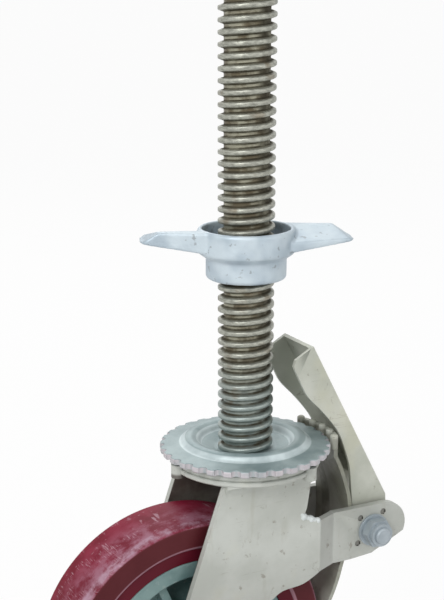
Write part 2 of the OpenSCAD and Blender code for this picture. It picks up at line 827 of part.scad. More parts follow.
// Lower bow: shares of the way from the shoe out to the pivot's side, and from pivot to axle
function shoe_point(out, down) =
    [shoe_x + out * (bow_x - shoe_x), pivot_z + down * (axle_z - pivot_z)];
brake_front = curve([
    [bow_top_x, 6], bow_point(-0.02, 0.11), bow_point(0.3, 0.25), bow_point(0.6, 0.41),
    bow_point(0.87, 0.6), bow_point(0.98, 0.76), bow_point(1, 0.95), shoe_point(0.93, 0.14),
    shoe_point(0.7, 0.35), shoe_point(0.54, 0.51), shoe_point(0.31, 0.68),
    shoe_point(0.05, 0.84), shoe_point(0, 1), [shoe_x + 1.2, brake_end_z]
], 4);

// Everything behind a front line, up to the swivel axis and beyond, as a block across Y
module behind(front, shift) {
    outline = concat(
        [for (p = front) p + [shift, 0]],
        [[-axle_back, brake_end_z - 1], [-axle_back, 20], [front[0][0] + shift, 20]]
    );
    side_sheet(outline, -brake_w, 2 * brake_w);
}

lug_w = 3;
lug_y = 10;
lug_r = 12.5;
slot_d = pivot_sleeve_d + 0.6;
module brake_lug(y) {
    difference() {
        union() {
            translate([plate_back_x - 2, y, pivot_z - lug_r])
                cube([pivot_x - plate_back_x + 2, lug_w, 2 * lug_r]);
            across(pivot_x + brake_travel, pivot_z)
                translate([0, 0, y]) cylinder(h = lug_w, r = lug_r);
        }
        for (x = [pivot_x, pivot_x + brake_travel])
            across(x, pivot_z)
                translate([0, 0, y - 1]) cylinder(h = lug_w + 2, d = slot_d);
        translate([pivot_x, y - 1, pivot_z - slot_d / 2])
            cube([brake_travel, lug_w + 2, slot_d]);
    }
}

module brake_plate() {
    tooth_step = 360 / notch_count;
    arc_bottom = -34;
    arc_h = 60;
    color("tan")
        union() {
            intersection() {
                translate([0, -brake_w / 2, brake_end_z])
                    cube([2 * wheel_r, brake_w, brake_top_z - brake_end_z]);
                difference() {
                    union() {
                        behind(brake_front, brake_t);
                        translate([brake_travel, 0, arc_bottom])
                            cylinder(h = arc_h, r = collar_in_r + brake_t);
                    }
                    behind(brake_front, 0);
                    translate([brake_travel, 0, arc_bottom - 1])
                        cylinder(h = arc_h + 2, r = collar_in_r);
                }
            }
            for (i = [-2 : 2])
                translate([brake_travel, 0, tooth_bottom_z])
                    rotate([0, 0, i * tooth_step])
                        translate([tooth_ring_r, 0, 0])
                            cylinder(h = tooth_top_z - tooth_bottom_z, r = tooth_r, $fn = 24);
            brake_lug(lug_y);
            brake_lug(-lug_y - lug_w);
        }
}

// Pivot hardware
pivot_head_h = 8;
pivot_nut_h = 11;
pivot_seat_y = ear_out_y + pivot_washer_t;
module pivot_bolt() {
    color("lightsteelblue")
        across(pivot_x, pivot_z)
            translate([0, 0, pivot_seat_y])
                bolt(pivot_d, 2 * pivot_seat_y + pivot_nut_h + nut_tail - tip_l, pivot_af,
                    pivot_head_h);
}

module pivot_nut() {
    color("lightsteelblue")
        across(pivot_x, pivot_z)
            translate([0, 0, -pivot_seat_y])
                rotate([180, 0, 0]) lock_nut(pivot_d, pivot_af, pivot_nut_h);
}

module pivot_sleeve() {
    color("darkgray")
        across(pivot_x, pivot_z) tube(pivot_sleeve_d, pivot_d + 2 * seat_gap, ear_gap);
}

pedal_side_gap = 0.4;
// Two washers between pedal and ears, and two outside the ears
module pivot_washers() {
    length = ear_in_y - pedal_w / 2 - pedal_side_gap;
    color("darkgray")
        across(pivot_x, pivot_z)
            for (side = [-1, 1]) {
                translate([0, 0, side * (ear_in_y - length / 2)])
                    tube(pivot_sleeve_d + 9, pivot_sleeve_d + 2 * seat_gap, length);
                translate([0, 0, side * (ear_out_y + pivot_washer_t / 2)])
                    tube(pivot_washer_d, pivot_d + 2 * seat_gap, pivot_washer_t);
            }
}

jack_screw();
jack_nut();
top_plate();
kingpin();
upper_balls();
lower_balls();
lower_race();
fork();
tyre();
wheel_core();
bearing_near();
bearing_far();
bearing_spacer();
axle_sleeve();
axle_bolt();
axle_nut();
axle_washers();
axle_spacers();
brake_pedal();
brake_plate();
pivot_bolt();
pivot_nut();
pivot_sleeve();
pivot_washers();
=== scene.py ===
# %% [markdown]
# A scaffold castor, dressed for its portrait. The solid parts come from the imported model and keep
# their place and size. This script gives them their surfaces, models the few pieces whose form is
# finer than the solids (thread, cast nut, weld beads), and sets up the floor, the light and the camera.

# %% Load the castor
import json
import math

import bpy
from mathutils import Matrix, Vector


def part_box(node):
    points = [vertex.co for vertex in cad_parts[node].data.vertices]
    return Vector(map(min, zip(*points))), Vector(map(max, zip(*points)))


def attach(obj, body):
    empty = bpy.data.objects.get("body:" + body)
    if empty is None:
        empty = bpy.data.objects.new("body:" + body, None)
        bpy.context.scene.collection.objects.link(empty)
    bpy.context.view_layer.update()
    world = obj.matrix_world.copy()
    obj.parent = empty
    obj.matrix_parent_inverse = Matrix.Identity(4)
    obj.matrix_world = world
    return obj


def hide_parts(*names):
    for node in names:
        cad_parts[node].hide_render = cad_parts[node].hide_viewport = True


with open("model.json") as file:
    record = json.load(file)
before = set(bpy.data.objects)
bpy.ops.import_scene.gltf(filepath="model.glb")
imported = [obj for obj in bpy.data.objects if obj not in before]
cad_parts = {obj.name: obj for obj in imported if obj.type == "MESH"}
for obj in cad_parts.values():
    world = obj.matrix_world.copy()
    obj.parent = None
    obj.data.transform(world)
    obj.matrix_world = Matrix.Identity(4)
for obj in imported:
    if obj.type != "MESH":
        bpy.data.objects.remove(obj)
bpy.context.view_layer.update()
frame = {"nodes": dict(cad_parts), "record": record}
nodes = frame["nodes"]
MM = 0.001

# %% [markdown]
# Some sizes are read from the solids, so that a new piece fits wherever the solids put it; the
# others are given as numbers. The swivel axis is the line x = 0, y = 0. The wheel turns about the
# middle of the tyre's box, and the screw's box gives the thread's outside radius.

# %% Measure the solids
tyre_low, tyre_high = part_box("tyre")
WHEEL_CENTRE = (tyre_low + tyre_high) / 2
WHEEL_R = (tyre_high.z - tyre_low.z) / 2
screw_low, screw_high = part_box("jack_screw")
SCREW_R = round(screw_high.x / MM) * MM
CUP_R = 29.5 * MM
CUP_FLOOR_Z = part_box("jack_nut")[1].z - 10 * MM
FLOOR_Z = tyre_low.z
print("wheel centre:", tuple(round(v / MM, 1) for v in WHEEL_CENTRE), "radius:", round(WHEEL_R / MM, 1))

# %% [markdown]
# The camera stands where the photographer stood. The fork's middle plane is the XZ plane of the
# model, and the camera looks at it from 27 degrees to the wheel's side, from 18 degrees above.
# The frame is cut off centre, which a vertical shift of the lens gives without any tilt.

# %% Camera
VIEW_TURN = math.radians(27)
VIEW_PITCH = math.radians(18.1)
VIEW_RIGHT, VIEW_BACK, VIEW_UP = -0.0161, -0.8809, 0.3178
LENS_MM, SENSOR_MM, LENS_SHIFT = 80.7, 36.0, 0.166

camera_data = bpy.data.cameras.new("camera")
camera_data.lens = LENS_MM
camera_data.sensor_width = SENSOR_MM
camera_data.shift_y = LENS_SHIFT
camera = bpy.data.objects.new("camera", camera_data)
bpy.context.scene.collection.objects.link(camera)
camera.location = (
    VIEW_RIGHT * math.cos(VIEW_TURN) + VIEW_BACK * math.sin(VIEW_TURN),
    VIEW_BACK * math.cos(VIEW_TURN) - VIEW_RIGHT * math.sin(VIEW_TURN),
    VIEW_UP,
)
camera.rotation_euler = (math.pi / 2 - VIEW_PITCH, 0, -VIEW_TURN)
bpy.context.scene.camera = camera
bpy.context.scene.view_settings.view_transform = "Standard"
print("camera at:", tuple(round(v, 3) for v in camera.location))

# %% [markdown]
# Blender's shaders work in linear light, while colours are judged on a screen. One helper
# turns a screen colour, 0 to 255, into the linear value. The other helpers keep the node trees
# short: each adds one node and returns the socket that the next node reads.

# %% Material helpers
def tint(red, green, blue):
    """A screen colour as a linear colour."""
    return (*[(v / 255) ** 2.2 for v in (red, green, blue)], 1)


def begin(name, base, roughness, metallic=0.0):
    """A new material with a plain Principled shader, and its Object coordinates."""
    material = bpy.data.materials.new(name)
    material.use_nodes = True
    material.diffuse_color = base
    tree = material.node_tree
    shader = tree.nodes["Principled BSDF"]
    shader.inputs["Base Color"].default_value = base
    shader.inputs["Roughness"].default_value = roughness
    shader.inputs["Metallic"].default_value = metallic
    place = tree.nodes.new("ShaderNodeTexCoord").outputs["Object"]
    return material, tree, shader, place


def stretch(tree, place, scale, turn=(0, 0, 0)):
    """Coordinates pulled longer or shorter along each axis."""
    node = tree.nodes.new("ShaderNodeMapping")
    node.inputs["Scale"].default_value = scale
    node.inputs["Rotation"].default_value = turn
    tree.links.new(place, node.inputs["Vector"])
    return node.outputs["Vector"]


def noise(tree, place, scale, detail=4.0, roughness=0.55, distortion=0.0):
    """Cloudy values round 0.5."""
    node = tree.nodes.new("ShaderNodeTexNoise")
    node.inputs["Scale"].default_value = scale
    node.inputs["Detail"].default_value = detail
    node.inputs["Roughness"].default_value = roughness
    node.inputs["Distortion"].default_value = distortion
    tree.links.new(place, node.inputs["Vector"])
    return node.outputs["Fac"]


def level(tree, value, low, high, to_low=0.0, to_high=1.0):
    """A value between two limits, spread over a new range."""
    node = tree.nodes.new("ShaderNodeMapRange")
    node.interpolation_type = "SMOOTHSTEP"
    for name, number in zip(("From Min", "From Max", "To Min", "To Max"), (low, high, to_low, to_high)):
        node.inputs[name].default_value = number
    tree.links.new(value, node.inputs["Value"])
    return node.outputs["Result"]


def sums(tree, operation, a, b):
    """One sum of two sockets, or of a socket and a number."""
    node = tree.nodes.new("ShaderNodeMath")
    node.operation = operation
    for slot, value in enumerate((a, b)):
        if isinstance(value, (int, float)):
            node.inputs[slot].default_value = value
        else:
            tree.links.new(value, node.inputs[slot])
    return node.outputs["Value"]


def blend(tree, amount, below, above):
    """Two colours, or a colour over a socket, mixed by an amount."""
    node = tree.nodes.new("ShaderNodeMix")
    node.data_type = "RGBA"
    tree.links.new(amount, node.inputs["Factor"])
    for name, value in (("A", below), ("B", above)):
        socket = next(s for s in node.inputs if s.name == name and s.type == "RGBA")
        if isinstance(value, tuple):
            socket.default_value = value
        else:
            tree.links.new(value, socket)
    return next(s for s in node.outputs if s.type == "RGBA")


def relief(tree, shader, height, depth, before=None):
    """Bump of the given depth in metres; before is the bump that lies under it."""
    node = tree.nodes.new("ShaderNodeBump")
    node.inputs["Distance"].default_value = depth
    tree.links.new(height, node.inputs["Height"])
    if before is not None:
        tree.links.new(before, node.inputs["Normal"])
    tree.links.new(node.outputs["Normal"], shader.inputs["Normal"])
    return node.outputs["Normal"]


def axis_distance(tree, place, keep, centre=(0, 0, 0)):
    """Distance from an axis: keep names the two coordinates that count, such as (1, 1, 0)."""
    move = tree.nodes.new("ShaderNodeVectorMath")
    move.operation = "SUBTRACT"
    move.inputs[1].default_value = centre
    tree.links.new(place, move.inputs[0])
    flat = tree.nodes.new("ShaderNodeVectorMath")
    flat.operation = "MULTIPLY"
    flat.inputs[1].default_value = keep
    tree.links.new(move.outputs["Vector"], flat.inputs[0])
    size = tree.nodes.new("ShaderNodeVectorMath")
    size.operation = "LENGTH"
    tree.links.new(flat.outputs["Vector"], size.inputs[0])
    return size.outputs["Value"]


def part_of(tree, place, axis):
    """One coordinate of a place: X, Y or Z."""
    node = tree.nodes.new("ShaderNodeSeparateXYZ")
    tree.links.new(place, node.inputs["Vector"])
    return node.outputs[axis]


def near(tree, value, middle, half, soft):
    """1 within half of the middle, falling to 0 over a soft margin."""
    away = sums(tree, "ABSOLUTE", sums(tree, "SUBTRACT", value, middle), 0)
    return level(tree, away, half, half + soft, 1, 0)


def scratches(tree, place, turn, scale=90.0, share=0.03):
    """Thin lines, all in one direction, broken up so that only some of them show."""
    lines = stretch(tree, place, (0.6, 0.6, 14), turn)
    thin = noise(tree, lines, scale, detail=2, distortion=0.4)
    patches = noise(tree, place, scale * 0.5, detail=2)
    line = level(tree, thin, 0.66 - share, 0.68, 0, 1)
    return sums(tree, "MULTIPLY", line, level(tree, patches, 0.52, 0.62))


print("helpers ready")

# %% [markdown]
# The jack screw is plain bar with rolled threads. The ridges are rubbed bright by the nut, the
# grooves keep a bright middle, and dark olive lies in both corners of each groove: dirt packed
# there, and painted shade under each ridge. A point's height and its angle about the axis together
# say where in its turn of the thread it lies, so the dark corners can follow the thread round. The
# grooves on one side, to the camera's right, carry painted shade. Near the foot the plating shows bluer.

# %% Screw steel
PITCH = 7.5 * MM
THREAD_FOOT_Z = -2.9 * MM - PITCH * 40 / 360
# Shares of one turn, upwards: the groove ends, and the middle of the ridge
GROOVE_END, RIDGE_MIDDLE = 0.34, 0.67
# The side whose grooves get painted shade: the camera's right
SHADED_SIDE = (0.89, -0.45, 0)


def thread_phase(tree, place):
    """Where in its turn of the thread a point lies, from 0 to 1."""
    x, y, z = (part_of(tree, place, axis) for axis in "XYZ")
    turn = sums(tree, "DIVIDE", sums(tree, "ARCTAN2", y, x), math.tau)
    rise = sums(tree, "DIVIDE", sums(tree, "SUBTRACT", z, THREAD_FOOT_Z), PITCH)
    return sums(tree, "FRACT", sums(tree, "SUBTRACT", rise, turn), 0)


def along(tree, place, direction):
    """How far a place lies along a direction."""
    node = tree.nodes.new("ShaderNodeVectorMath")
    node.operation = "DOT_PRODUCT"
    node.inputs[1].default_value = direction
    tree.links.new(place, node.inputs[0])
    return node.outputs["Value"]


def screw_steel():
    material, tree, shader, place = begin("screw_steel", tint(150, 148, 140), 0.42, 0.6)
    phase = thread_phase(tree, place)
    grain = noise(tree, stretch(tree, place, (1, 1, 3)), 260, 6, 0.7)
    patches = noise(tree, place, 75, 4)
    groove = blend(tree, level(tree, patches, 0.42, 0.6), tint(100, 92, 74), tint(160, 158, 140))
    ridge = blend(tree, level(tree, grain, 0.3, 0.7), tint(126, 127, 118), tint(176, 177, 166))
    on_ridge = near(tree, phase, RIDGE_MIDDLE, 0.22, 0.07)
    steel = blend(tree, on_ridge, groove, ridge)
    foot = level(tree, part_of(tree, place, "Z"), 25 * MM, 70 * MM, 0.6, 0)
    steel = blend(tree, foot, steel, tint(142, 158, 158))
    stain = level(tree, noise(tree, place, 48, 3), 0.56, 0.68, 0, 0.55)
    steel = blend(tree, stain, steel, tint(118, 104, 84))
    # Dark olive in both corners of each groove: dirt, and painted shade under the ridge
    wrapped = sums(tree, "MINIMUM", phase, sums(tree, "SUBTRACT", 1, phase))
    corner_low = near(tree, wrapped, 0, 0.04, 0.06)
    corner_high = near(tree, phase, GROOVE_END, 0.035, 0.06)
    corners = sums(tree, "MAXIMUM", corner_low, corner_high)
    patchy = level(tree, noise(tree, place, 110, 5), 0.3, 0.6, 0.45, 1)
    # Painted shade in the grooves on the camera's right side
    side = level(tree, along(tree, place, SHADED_SIDE), SCREW_R * 0.2, SCREW_R * 0.6, 0, 0.9)
    in_groove = sums(tree, "SUBTRACT", 1, on_ridge)
    dirt_and_shade = sums(tree, "MULTIPLY", sums(tree, "MAXIMUM", corners, sums(tree, "MULTIPLY", side, in_groove)), patchy)
    olive = blend(tree, noise(tree, place, 150), tint(48, 44, 34), tint(80, 76, 60))
    colour = blend(tree, dirt_and_shade, steel, olive)
    tree.links.new(colour, shader.inputs["Base Color"])
    tree.links.new(level(tree, dirt_and_shade, 0, 1, 0.4, 0.85), shader.inputs["Roughness"])
    tree.links.new(level(tree, dirt_and_shade, 0, 1, 0.6, 0.1), shader.inputs["Metallic"])
    relief(tree, shader, grain, 0.2 * MM)
    return material


# %% [markdown]
# The nut and the toothed plate are both zinc, but laid on differently. The casting was dipped in
# hot zinc: pale, bluish, slightly lumpy. The plate was plated: smooth and bright, with a painted
# highlight on both slopes of the pressed ring, and a brown film where the teeth have been handled.

# %% Zinc finishes
def dipped_zinc():
    """Hot dip coat on the cast nut, darker and mottled inside the cup."""
    material, tree, shader, place = begin("dipped_zinc", tint(182, 194, 202), 0.5, 0.35)
    lumps = noise(tree, place, 120, 4)
    spangle = noise(tree, place, 45, 2)
    colour = blend(tree, level(tree, spangle, 0.35, 0.65), tint(166, 180, 190), tint(192, 204, 211))
    spots = level(tree, noise(tree, place, 210, 3), 0.64, 0.7, 0, 0.5)
    colour = blend(tree, spots, colour, tint(112, 114, 114))
    cup = level(tree, axis_distance(tree, place, (1, 1, 0)), CUP_R - 0.6 * MM, CUP_R + 0.4 * MM, 1, 0)
    in_cup = level(tree, part_of(tree, place, "Z"), CUP_FLOOR_Z - 0.8 * MM, CUP_FLOOR_Z - 0.3 * MM)
    cup = sums(tree, "MULTIPLY", cup, in_cup)
    mottled = level(tree, noise(tree, place, 95, 4), 0.36, 0.56, 1, 0.35)
    colour = blend(tree, sums(tree, "MULTIPLY", cup, mottled), colour, tint(84, 90, 96))
    tree.links.new(colour, shader.inputs["Base Color"])
    tree.links.new(level(tree, spangle, 0.3, 0.7, 0.42, 0.6), shader.inputs["Roughness"])
    relief(tree, shader, lumps, 0.5 * MM)
    return material


# The slopes on both sides of the pressed ring, which carry a painted highlight, and the height of the rim's upper
# face
HIGHLIGHT_RINGS = (32.2 * MM, 44 * MM)
RIM_Z = -1.2 * MM


def plated_zinc(name, dark, light, rim=None):
    """Satin plating. With rim, the radius of the teeth: a painted highlight on the ring's slopes, and mauve
    teeth.
    """
    material, tree, shader, place = begin(name, light, 0.42, 0.22)
    clouds = noise(tree, place, 40, 4)
    colour = blend(tree, level(tree, clouds, 0.35, 0.65), dark, light)
    fine = noise(tree, place, 420, 3, 0.7)
    if rim is not None:
        radius = axis_distance(tree, place, (1, 1, 0))
        edge = level(tree, radius, rim - 3.5 * MM, rim - 2.5 * MM)
        # Painted highlight on both slopes of the pressed ring
        inner, outer = (near(tree, radius, ring, 1.5 * MM, 1 * MM) for ring in HIGHLIGHT_RINGS)
        slope = sums(tree, "MAXIMUM", inner, outer)
        painted_highlight = sums(tree, "MULTIPLY", slope, level(tree, clouds, 0.35, 0.65, 0.4, 0.7))
        colour = blend(tree, painted_highlight, colour, tint(222, 234, 236))
        upright = level(tree, part_of(tree, place, "Z"), RIM_Z - 0.6 * MM, RIM_Z - 0.2 * MM, 1, 0)
        film = level(tree, noise(tree, place, 140, 4), 0.3, 0.7, 0.5, 1)
        handled = sums(tree, "MULTIPLY", sums(tree, "MULTIPLY", edge, upright), film)
        colour = blend(tree, handled, colour, tint(190, 184, 188))
    tree.links.new(colour, shader.inputs["Base Color"])
    tree.links.new(level(tree, clouds, 0.3, 0.7, 0.4, 0.52), shader.inputs["Roughness"])
    relief(tree, shader, fine, 0.05 * MM)
    return material


# %% [markdown]
# The fork, the pedal and the brake plate carry a thin grey-white coat over pressed steel. It is
# matt, with faint runs from top to bottom, small brown-grey specks and a few scrapes. Inside the
# fork, the surfaces that face the wheel are darkened by dirt and by painted shade. Painted shade
# also lies on the fork's slanted step and down the brake plate; the ears and low legs are darker.

# %% Coated steel
def runs(tree, place, scale):
    """Faint marks, longer than wide, that run down the sheet."""
    return noise(tree, stretch(tree, place, (1, 1, 0.22)), scale, 4, 0.6)


def coat(name, light, dark, dirt_and_shade=None, dirt_and_shade_amount=None):
    """The coat in two tones. The last argument, if given, makes from tree and place the amount of dirt and
    painted shade.
    """
    material, tree, shader, place = begin(name, light, 0.5, 0.1)
    clouds = noise(tree, place, 24, 5)
    colour = blend(tree, level(tree, clouds, 0.35, 0.65), dark, light)
    yellow = level(tree, noise(tree, place, 17, 3), 0.54, 0.68, 0, 0.35)
    colour = blend(tree, yellow, colour, tint(192, 190, 164))
    down = level(tree, runs(tree, place, 95), 0.6, 0.74, 0, 0.22)
    colour = blend(tree, down, colour, tint(150, 146, 128))
    specks = level(tree, noise(tree, place, 150, 5, 0.65), 0.62, 0.7, 0, 0.5)
    scrapes = scratches(tree, place, (1.0, 0.25, 0.7), 80, 0.02)
    dashes = level(tree, noise(tree, stretch(tree, place, (1, 1, 0.5), (0, 0.6, 0)), 120, 4, 0.7), 0.6, 0.68)
    here = level(tree, noise(tree, place, 30, 2), 0.5, 0.6, 0, 0.5)
    specks = sums(tree, "MAXIMUM", specks, sums(tree, "MULTIPLY", dashes, here))
    marks = sums(tree, "MAXIMUM", specks, sums(tree, "MULTIPLY", scrapes, 0.3))
    colour = blend(tree, marks, colour, tint(116, 106, 92))
    if dirt_and_shade is not None:
        # Dirt and painted shade, in the colour and amount that the fork or the plate brings
        colour = blend(tree, dirt_and_shade_amount(tree, place), colour, dirt_and_shade)
    tree.links.new(colour, shader.inputs["Base Color"])
    tree.links.new(level(tree, clouds, 0.3, 0.7, 0.42, 0.58), shader.inputs["Roughness"])
    under = relief(tree, shader, noise(tree, place, 240, 4), 0.06 * MM)
    relief(tree, shader, sums(tree, "MULTIPLY", marks, -1), 0.1 * MM, under)
    return material


LEG_IN_Y = 31 * MM
STEP_X = 41 * MM
EAR_OUT_Y = 28 * MM
DIMPLE_RING_R, DIMPLE_R = 15 * MM, 2.3 * MM
bolt_low, bolt_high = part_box("pivot_bolt")
PIVOT = (bolt_low + bolt_high) / 2


def wheel_well(tree, place):
    """1 inside the fork facing the wheel, dirt and painted shade; painted shade on the slanted step; darker ears
    and low legs; stained dimples.
    """
    side = sums(tree, "ABSOLUTE", part_of(tree, place, "Y"), 0)
    # Inside the fork, facing the wheel: dirt and painted shade
    inside = level(tree, side, LEG_IN_Y + 0.2 * MM, LEG_IN_Y + 0.9 * MM, 1, 0)
    behind = level(tree, part_of(tree, place, "X"), STEP_X - 8 * MM, STEP_X + 4 * MM, 1, 0)
    below = level(tree, part_of(tree, place, "Z"), -16 * MM, -14 * MM, 1, 0)
    cloudy = level(tree, noise(tree, place, 40, 4), 0.3, 0.6, 0.8, 1)
    well = sums(tree, "MULTIPLY", sums(tree, "MULTIPLY", inside, behind), sums(tree, "MULTIPLY", below, cloudy))
    # Painted shade on the slanted step; the ears and the low legs are only made darker
    step = near(tree, part_of(tree, place, "X"), STEP_X + 8 * MM, 6 * MM, 2 * MM)
    low = level(tree, part_of(tree, place, "Z"), -60 * MM, -105 * MM, 0, 0.14)
    ear = level(tree, part_of(tree, place, "X"), STEP_X + 14 * MM, STEP_X + 17 * MM, 0, 0.12)
    darker_faces = sums(tree, "MAXIMUM", sums(tree, "MULTIPLY", step, 0.22), sums(tree, "MAXIMUM", low, ear))
    around = axis_distance(tree, place, (1, 0, 1), tuple(PIVOT))
    ring = near(tree, around, DIMPLE_RING_R, DIMPLE_R, 0.5 * MM)
    sunk = near(tree, side, EAR_OUT_Y - 0.8 * MM, 0.5 * MM, 0.2 * MM)
    stain = sums(tree, "MULTIPLY", sums(tree, "MULTIPLY", ring, sunk), 0.6)
    return sums(tree, "MAXIMUM", well, sums(tree, "MAXIMUM", darker_faces, stain))


def brake_shade(tree, place):
    """Painted shade on the brake plate: dark down its middle and under its knobs, but not on the knobs' tops."""
    # All of this is painted shade, broken up by cloudy patches
    middle = near(tree, part_of(tree, place, "Y"), 9 * MM, 4 * MM, 4 * MM)
    height = part_of(tree, place, "Z")
    high = level(tree, height, -60 * MM, -20 * MM, 0.3, 0.75)
    knobs = level(tree, height, -2 * MM, 1 * MM, 1, 0)
    patchy_shade = level(tree, noise(tree, place, 55, 4), 0.35, 0.65, 0.5, 1)
    shade = sums(tree, "MAXIMUM", sums(tree, "MULTIPLY", middle, 0.8), high)
    return sums(tree, "MULTIPLY", sums(tree, "MULTIPLY", shade, patchy_shade), knobs)


# %% [markdown]
# The tread is cast polyurethane. Its running face is wine red, turned pale mauve towards one edge
# by a painted sheen, with a painted highlight along that shoulder and small pinkish scuffs lying
# every way. The side wall is an even brown red, a painted highlight marks the line where it steps
# in, and the lip against the core stays wine red. The distance from the axle tells these apart.

# %% Polyurethane and core
STEP_R = 83.4 * MM


def red_tread():
    material, tree, shader, place = begin("red_tread", tint(112, 34, 44), 0.38)
    radius = axis_distance(tree, place, (1, 0, 1), tuple(WHEEL_CENTRE))
    across = part_of(tree, place, "Y")
    clouds = noise(tree, place, 35, 4)
    wall = blend(tree, clouds, tint(76, 32, 37), tint(92, 44, 48))
    lip = blend(tree, clouds, tint(76, 22, 34), tint(98, 32, 44))
    side = blend(tree, level(tree, radius, STEP_R - 1.2 * MM, STEP_R + 0.2 * MM), lip, wall)
    # Painted highlight on the line where the side wall steps in
    shine = near(tree, radius, STEP_R - 0.5 * MM, 0.6 * MM, 0.8 * MM)
    side = blend(tree, sums(tree, "MULTIPLY", shine, 0.7), side, tint(168, 128, 140))
    # Painted sheen: the running face turns pale mauve towards the near edge
    painted_highlight = level(tree, across, 20 * MM, -22 * MM, 0, 1)
    cloudy = level(tree, noise(tree, place, 70, 6, 0.7), 0.38, 0.62, 0.1, 1)
    face = blend(tree, level(tree, clouds, 0.35, 0.65), tint(104, 14, 36), tint(130, 34, 56))
    face = blend(tree, sums(tree, "MULTIPLY", painted_highlight, cloudy), face, tint(152, 106, 122))
    # Painted highlight along the near shoulder
    shoulder = sums(tree, "MULTIPLY", near(tree, across, -20 * MM, 2 * MM, 3 * MM), cloudy)
    face = blend(tree, sums(tree, "MULTIPLY", shoulder, 0.35), face, tint(196, 176, 192))
    scuff = scratches(tree, place, (0.2, 1.1, 0.5), 95, 0.05)
    for turn in ((0.9, 0.4, 1.3), (1.4, 0.9, 0.2), (0.5, 1.8, 1.0)):
        scuff = sums(tree, "MAXIMUM", scuff, scratches(tree, place, turn, 110, 0.05))
    dabs = level(tree, noise(tree, place, 150, 5, 0.7), 0.6, 0.7, 0, 0.8)
    scuff = sums(tree, "MAXIMUM", scuff, dabs)
    face = blend(tree, sums(tree, "MULTIPLY", scuff, 0.55), face, tint(196, 160, 172))
    running = level(tree, radius, WHEEL_R - 2.6 * MM, WHEEL_R - 1.6 * MM)
    tree.links.new(blend(tree, running, side, face), shader.inputs["Base Color"])
    tree.links.new(level(tree, running, 0, 1, 0.36, 0.5), shader.inputs["Roughness"])
    shader.inputs["Specular IOR Level"].default_value = 0.12
    relief(tree, shader, noise(tree, place, 180, 4), 0.1 * MM)
    return material


def grey_core():
    material, tree, shader, place = begin("grey_core", tint(104, 130, 130), 0.5)
    clouds = noise(tree, place, 50, 4)
    colour = blend(tree, level(tree, clouds, 0.3, 0.7), tint(90, 116, 116), tint(116, 140, 138))
    dust = level(tree, noise(tree, place, 170, 3), 0.6, 0.7, 0, 0.3)
    tree.links.new(blend(tree, dust, colour, tint(150, 162, 158)), shader.inputs["Base Color"])
    relief(tree, shader, noise(tree, place, 300, 3), 0.08 * MM)
    return material


# %% [markdown]
# Small turned and ground pieces, such as balls, sleeves and spacers, are plain bright or grey
# steel with fine marks. They hardly show.

# %% Small steel parts
def ground_steel(name, base, roughness):
    material, tree, shader, place = begin(name, base, roughness, 0.9)
    marks = noise(tree, stretch(tree, place, (1, 6, 1)), 320, 3)
    darker = (*[v * 0.7 for v in base[:3]], 1)
    tree.links.new(blend(tree, level(tree, marks, 0.3, 0.7), darker, base), shader.inputs["Base Color"])
    relief(tree, shader, marks, 0.04 * MM)
    return material


# %% Give every solid its finish
PLATE_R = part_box("top_plate")[1].x
# The fork's coat is darkened by dirt and painted shade, the plate's by painted shade
coat_fork = coat("fork_coat", tint(191, 194, 188), tint(174, 177, 170), tint(78, 70, 64), wheel_well)
coat_pedal = coat("pedal_coat", tint(194, 196, 186), tint(174, 177, 165))
coat_plate = coat("plate_coat", tint(176, 178, 168), tint(150, 152, 138), tint(70, 70, 56), brake_shade)
small_zinc = plated_zinc("small_zinc", tint(150, 160, 166), tint(184, 192, 198))
FINISH = {
    "jack_screw": screw_steel(),
    "jack_nut": dipped_zinc(),
    "top_plate": plated_zinc("plate_zinc", tint(128, 145, 147), tint(156, 171, 172), PLATE_R),
    "fork": coat_fork,
    "brake_pedal": coat_pedal,
    "brake_plate": coat_plate,
    "weld": coat("weld_coat", tint(216, 222, 222), tint(192, 198, 196)),
    "tyre": red_tread(),
    "wheel_core": grey_core(),
    "upper_balls": ground_steel("ball_steel", tint(200, 202, 206), 0.15),
    "bearing_near": ground_steel("bearing_steel", tint(168, 170, 172), 0.3),
    "axle_sleeve": ground_steel("sleeve_steel", tint(120, 120, 118), 0.45),
}
SHARED = {
    "lower_balls": "upper_balls", "bearing_far": "bearing_near", "bearing_spacer": "axle_sleeve",
    "axle_spacers": "axle_sleeve", "pivot_sleeve": "axle_sleeve",
}
def dress(piece, name):
    """The piece gets the finish that the named node has."""
    piece.data.materials.clear()
    piece.data.materials.append(FINISH.get(name) or FINISH.get(SHARED.get(name)) or small_zinc)


for name, solid in nodes.items():
    dress(solid, name)
print("finishes:", len(bpy.data.materials), "on", len(nodes), "nodes")

# %% [markdown]
# From here on, pieces are modelled. An operator works on all that is selected, so before each
# piece everything else is let go. A finished piece stands for its solid: it rides on the same
# body and has the same finish.

# %% Modelling helpers
record = frame["record"]
BODY = {node: body for body, members in record["behaviour"]["bodies"].items() for node in members}


def choose(*pieces):
    """Only these pieces are selected, and the first one is active."""
    bpy.ops.object.select_all(action="DESELECT")
    for piece in pieces:
        piece.select_set(True)
    bpy.context.view_layer.objects.active = pieces[0]


def finish_modifier(piece, kind, **settings):
    """Adds a modifier with these settings, and applies it."""
    choose(piece)
    modifier = piece.modifiers.new(kind.lower(), kind)
    for name, value in settings.items():
        setattr(modifier, name, value)
    bpy.ops.object.modifier_apply(modifier=modifier.name)


def stands_for(piece, name):
    """The piece takes the place of one solid."""
    dress(piece, name)
    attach(piece, BODY[name])
    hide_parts(name)


